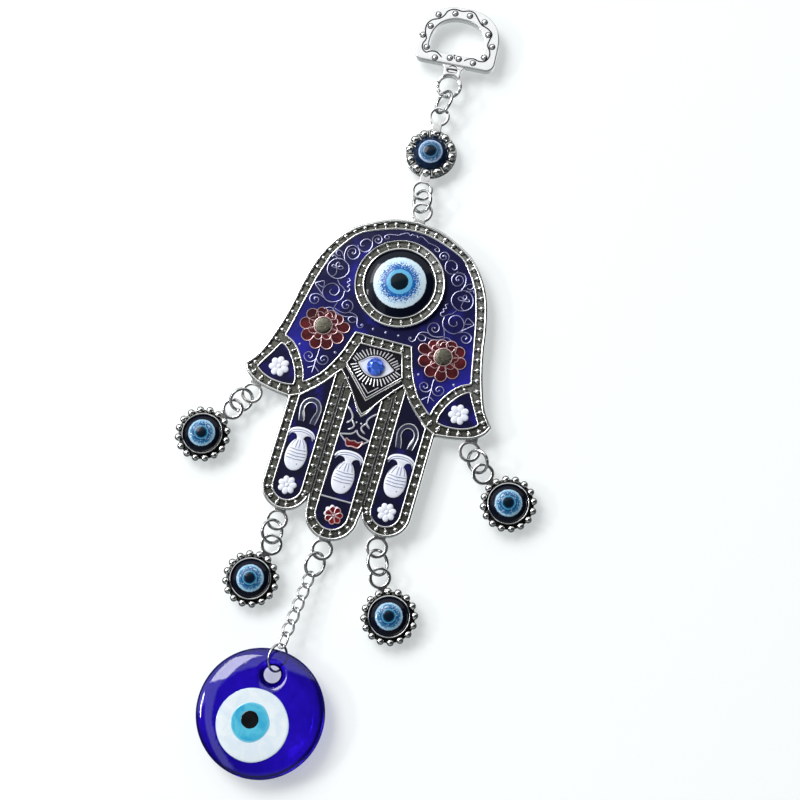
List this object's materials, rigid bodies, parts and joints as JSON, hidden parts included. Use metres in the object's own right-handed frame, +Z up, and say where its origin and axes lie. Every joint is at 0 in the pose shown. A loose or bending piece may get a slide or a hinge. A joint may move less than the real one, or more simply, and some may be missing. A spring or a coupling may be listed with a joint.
{
  "type": "evil eye ornament",
  "caption": "Hanging protective charm: a cast hamsa hand with enamel and eye cabochons, four eye charms on jump rings and a glass eye bead on a short chain, carried by a cast hanger.",
  "frame": {"origin": "on the flat back of the hand casting, at the middle of the palm", "axes": "+Z up along the hand, fingers pointing to -Z; the decorated front faces -Y; +X to the right as seen from the front"},
  "size_m": [0.1132, 0.0088, 0.2535],
  "materials": {
    "cast_metal": "antique silver plate, polished high spots",
    "ring_metal": "bright nickel plate",
    "blue_enamel": "translucent royal blue enamel",
    "navy_enamel": "near-black navy enamel",
    "black_enamel": "black enamel with white lashes",
    "eye_dome": "domed printed eye, navy with a blue iris",
    "rhinestone": "faceted blue stone",
    "cobalt_glass": "polished cobalt glass",
    "white_glass": "opaque white glass",
    "sky_glass": "opaque light blue glass",
    "black_glass": "opaque black glass"
  },
  "bodies": {
    "hanger": {"hanger_frame": "cast_metal"},
    "ring_hanger": {"ring_hanger": "ring_metal"},
    "connector": {"connector_setting": "cast_metal", "connector_eye": "eye_dome"},
    "ring_connector": {"ring_connector": "ring_metal"},
    "hamsa": {"hamsa_frame": "cast_metal", "enamel_palm": "blue_enamel", "enamel_tip_right": "navy_enamel", "enamel_tip_left": "navy_enamel", "enamel_finger_right": "navy_enamel", "enamel_finger_left": "navy_enamel", "enamel_finger_middle": "navy_enamel", "enamel_chevron": "navy_enamel", "enamel_pentagon": "black_enamel", "palm_eye_cabochon": "eye_dome", "eye_rhinestone": "rhinestone"},
    "ring_wing_left": {"ring_wing_left": "ring_metal"},
    "charm_wing_left": {"charm_wing_left_setting": "cast_metal", "charm_wing_left_eye": "eye_dome"},
    "ring_wing_right": {"ring_wing_right": "ring_metal"},
    "charm_wing_right": {"charm_wing_right_setting": "cast_metal", "charm_wing_right_eye": "eye_dome"},
    "ring_finger_left": {"ring_finger_left": "ring_metal"},
    "charm_finger_left": {"charm_finger_left_setting": "cast_metal", "charm_finger_left_eye": "eye_dome"},
    "ring_finger_right": {"ring_finger_right": "ring_metal"},
    "charm_finger_right": {"charm_finger_right_setting": "cast_metal", "charm_finger_right_eye": "eye_dome"},
    "ring_finger_middle": {"ring_finger_middle": "ring_metal"},
    "chain_link_1": {"chain_link_1": "ring_metal"},
    "chain_link_2": {"chain_link_2": "ring_metal"},
    "chain_link_3": {"chain_link_3": "ring_metal"},
    "chain_link_4": {"chain_link_4": "ring_metal"},
    "chain_link_5": {"chain_link_5": "ring_metal"},
    "chain_link_6": {"chain_link_6": "ring_metal"},
    "ring_bead": {"ring_bead": "ring_metal"},
    "nazar": {"nazar_glass": "cobalt_glass", "nazar_white": "white_glass", "nazar_blue": "sky_glass", "nazar_pupil": "black_glass"}
  },
  "joints": [
    {"name": "ring_hanger_hinge", "type": "hinge", "parent": "hanger", "child": "ring_hanger", "pos_m": [-0.0033, -0.0012, 0.0997], "axis": [0, -1, 0], "range_deg": [-60, 60]},
    {"name": "connector_hinge", "type": "hinge", "parent": "ring_hanger", "child": "connector", "pos_m": [-0.00348, -0.0012, 0.09023], "axis": [0.6427, -0.766, -0.0124], "range_deg": [-50, 50]},
    {"name": "ring_connector_hinge", "type": "hinge", "parent": "connector", "child": "ring_connector", "pos_m": [-0.00199, -0.0012, 0.06332], "axis": [0, -1, 0], "range_deg": [-60, 60]},
    {"name": "hamsa_hinge", "type": "hinge", "parent": "ring_connector", "child": "hamsa", "pos_m": [-0.00004, -0.0012, 0.05644], "axis": [0.762, -0.6156, 0.2011], "range_deg": [-35, 35]},
    {"name": "ring_wing_left_hinge", "type": "hinge", "parent": "hamsa", "child": "ring_wing_left", "pos_m": [-0.0351, -0.0012, -0.0142], "axis": [0, -1, 0], "range_deg": [-60, 35]},
    {"name": "charm_wing_left_hinge", "type": "hinge", "parent": "ring_wing_left", "child": "charm_wing_left", "pos_m": [-0.03908, -0.0012, -0.02036], "axis": [-0.7094, -0.6372, 0.3013], "range_deg": [-40, 35]},
    {"name": "ring_wing_right_hinge", "type": "hinge", "parent": "hamsa", "child": "ring_wing_right", "pos_m": [0.0351, -0.0012, -0.0142], "axis": [0, -1, 0], "range_deg": [-35, 60]},
    {"name": "charm_wing_right_hinge", "type": "hinge", "parent": "ring_wing_right", "child": "charm_wing_right", "pos_m": [0.04047, -0.0012, -0.01938], "axis": [0.6636, -0.6301, 0.4031], "range_deg": [-35, 40]},
    {"name": "ring_finger_left_hinge", "type": "hinge", "parent": "hamsa", "child": "ring_finger_left", "pos_m": [-0.0159, -0.0012, -0.0502], "axis": [0, -1, 0], "range_deg": [-50, 12]},
    {"name": "charm_finger_left_hinge", "type": "hinge", "parent": "ring_finger_left", "child": "charm_finger_left", "pos_m": [-0.01534, -0.0012, -0.0575], "axis": [-0.7273, -0.6265, -0.28], "range_deg": [-40, 30]},
    {"name": "ring_finger_right_hinge", "type": "hinge", "parent": "hamsa", "child": "ring_finger_right", "pos_m": [0.0159, -0.0012, -0.0502], "axis": [0, -1, 0], "range_deg": [-30, 50]},
    {"name": "charm_finger_right_hinge", "type": "hinge", "parent": "ring_finger_right", "child": "charm_finger_right", "pos_m": [0.01906, -0.0012, -0.05806], "axis": [-0.6368, -0.6926, -0.3388], "range_deg": [-40, 40]},
    {"name": "ring_finger_middle_hinge", "type": "hinge", "parent": "hamsa", "child": "ring_finger_middle", "pos_m": [0, -0.0012, -0.0553], "axis": [0, -1, 0], "range_deg": [-15, 20]},
    {"name": "chain_link_1_hinge", "type": "hinge", "parent": "ring_finger_middle", "child": "chain_link_1", "pos_m": [-0.0013, -0.0012, -0.06375], "axis": [-0.6612, -0.7431, 0.1029], "range_deg": [-40, 40]},
    {"name": "chain_link_2_hinge", "type": "hinge", "parent": "chain_link_1", "child": "chain_link_2", "pos_m": [-0.00163, -0.00148, -0.06767], "axis": [0.6691, -0.7431, -0.0032], "range_deg": [-20, 20]},
    {"name": "chain_link_3_hinge", "type": "hinge", "parent": "chain_link_2", "child": "chain_link_3", "pos_m": [-0.00197, -0.00177, -0.07158], "axis": [0.7431, 0.6691, 0], "range_deg": [-40, 40]},
    {"name": "chain_link_4_hinge", "type": "hinge", "parent": "chain_link_3", "child": "chain_link_4", "pos_m": [-0.0023, -0.00205, -0.0755], "axis": [-0.6691, 0.7431, 0.0032], "range_deg": [-20, 20]},
    {"name": "chain_link_5_hinge", "type": "hinge", "parent": "chain_link_4", "child": "chain_link_5", "pos_m": [-0.00264, -0.00234, -0.07941], "axis": [-0.7431, -0.6691, 0], "range_deg": [-40, 40]},
    {"name": "chain_link_6_hinge", "type": "hinge", "parent": "chain_link_5", "child": "chain_link_6", "pos_m": [-0.00297, -0.00262, -0.08333], "axis": [0.6691, -0.7431, -0.0032], "range_deg": [-20, 20]},
    {"name": "ring_bead_hinge", "type": "hinge", "parent": "chain_link_6", "child": "ring_bead", "pos_m": [-0.0033, -0.0029, -0.08724], "axis": [0.829, -0.5592, 0], "range_deg": [-40, 40]},
    {"name": "nazar_hinge", "type": "hinge", "parent": "ring_bead", "child": "nazar", "pos_m": [-0.0033, -0.0029, -0.09439], "axis": [-0.5299, -0.848, 0], "range_deg": [-15, 15]}
  ]
}
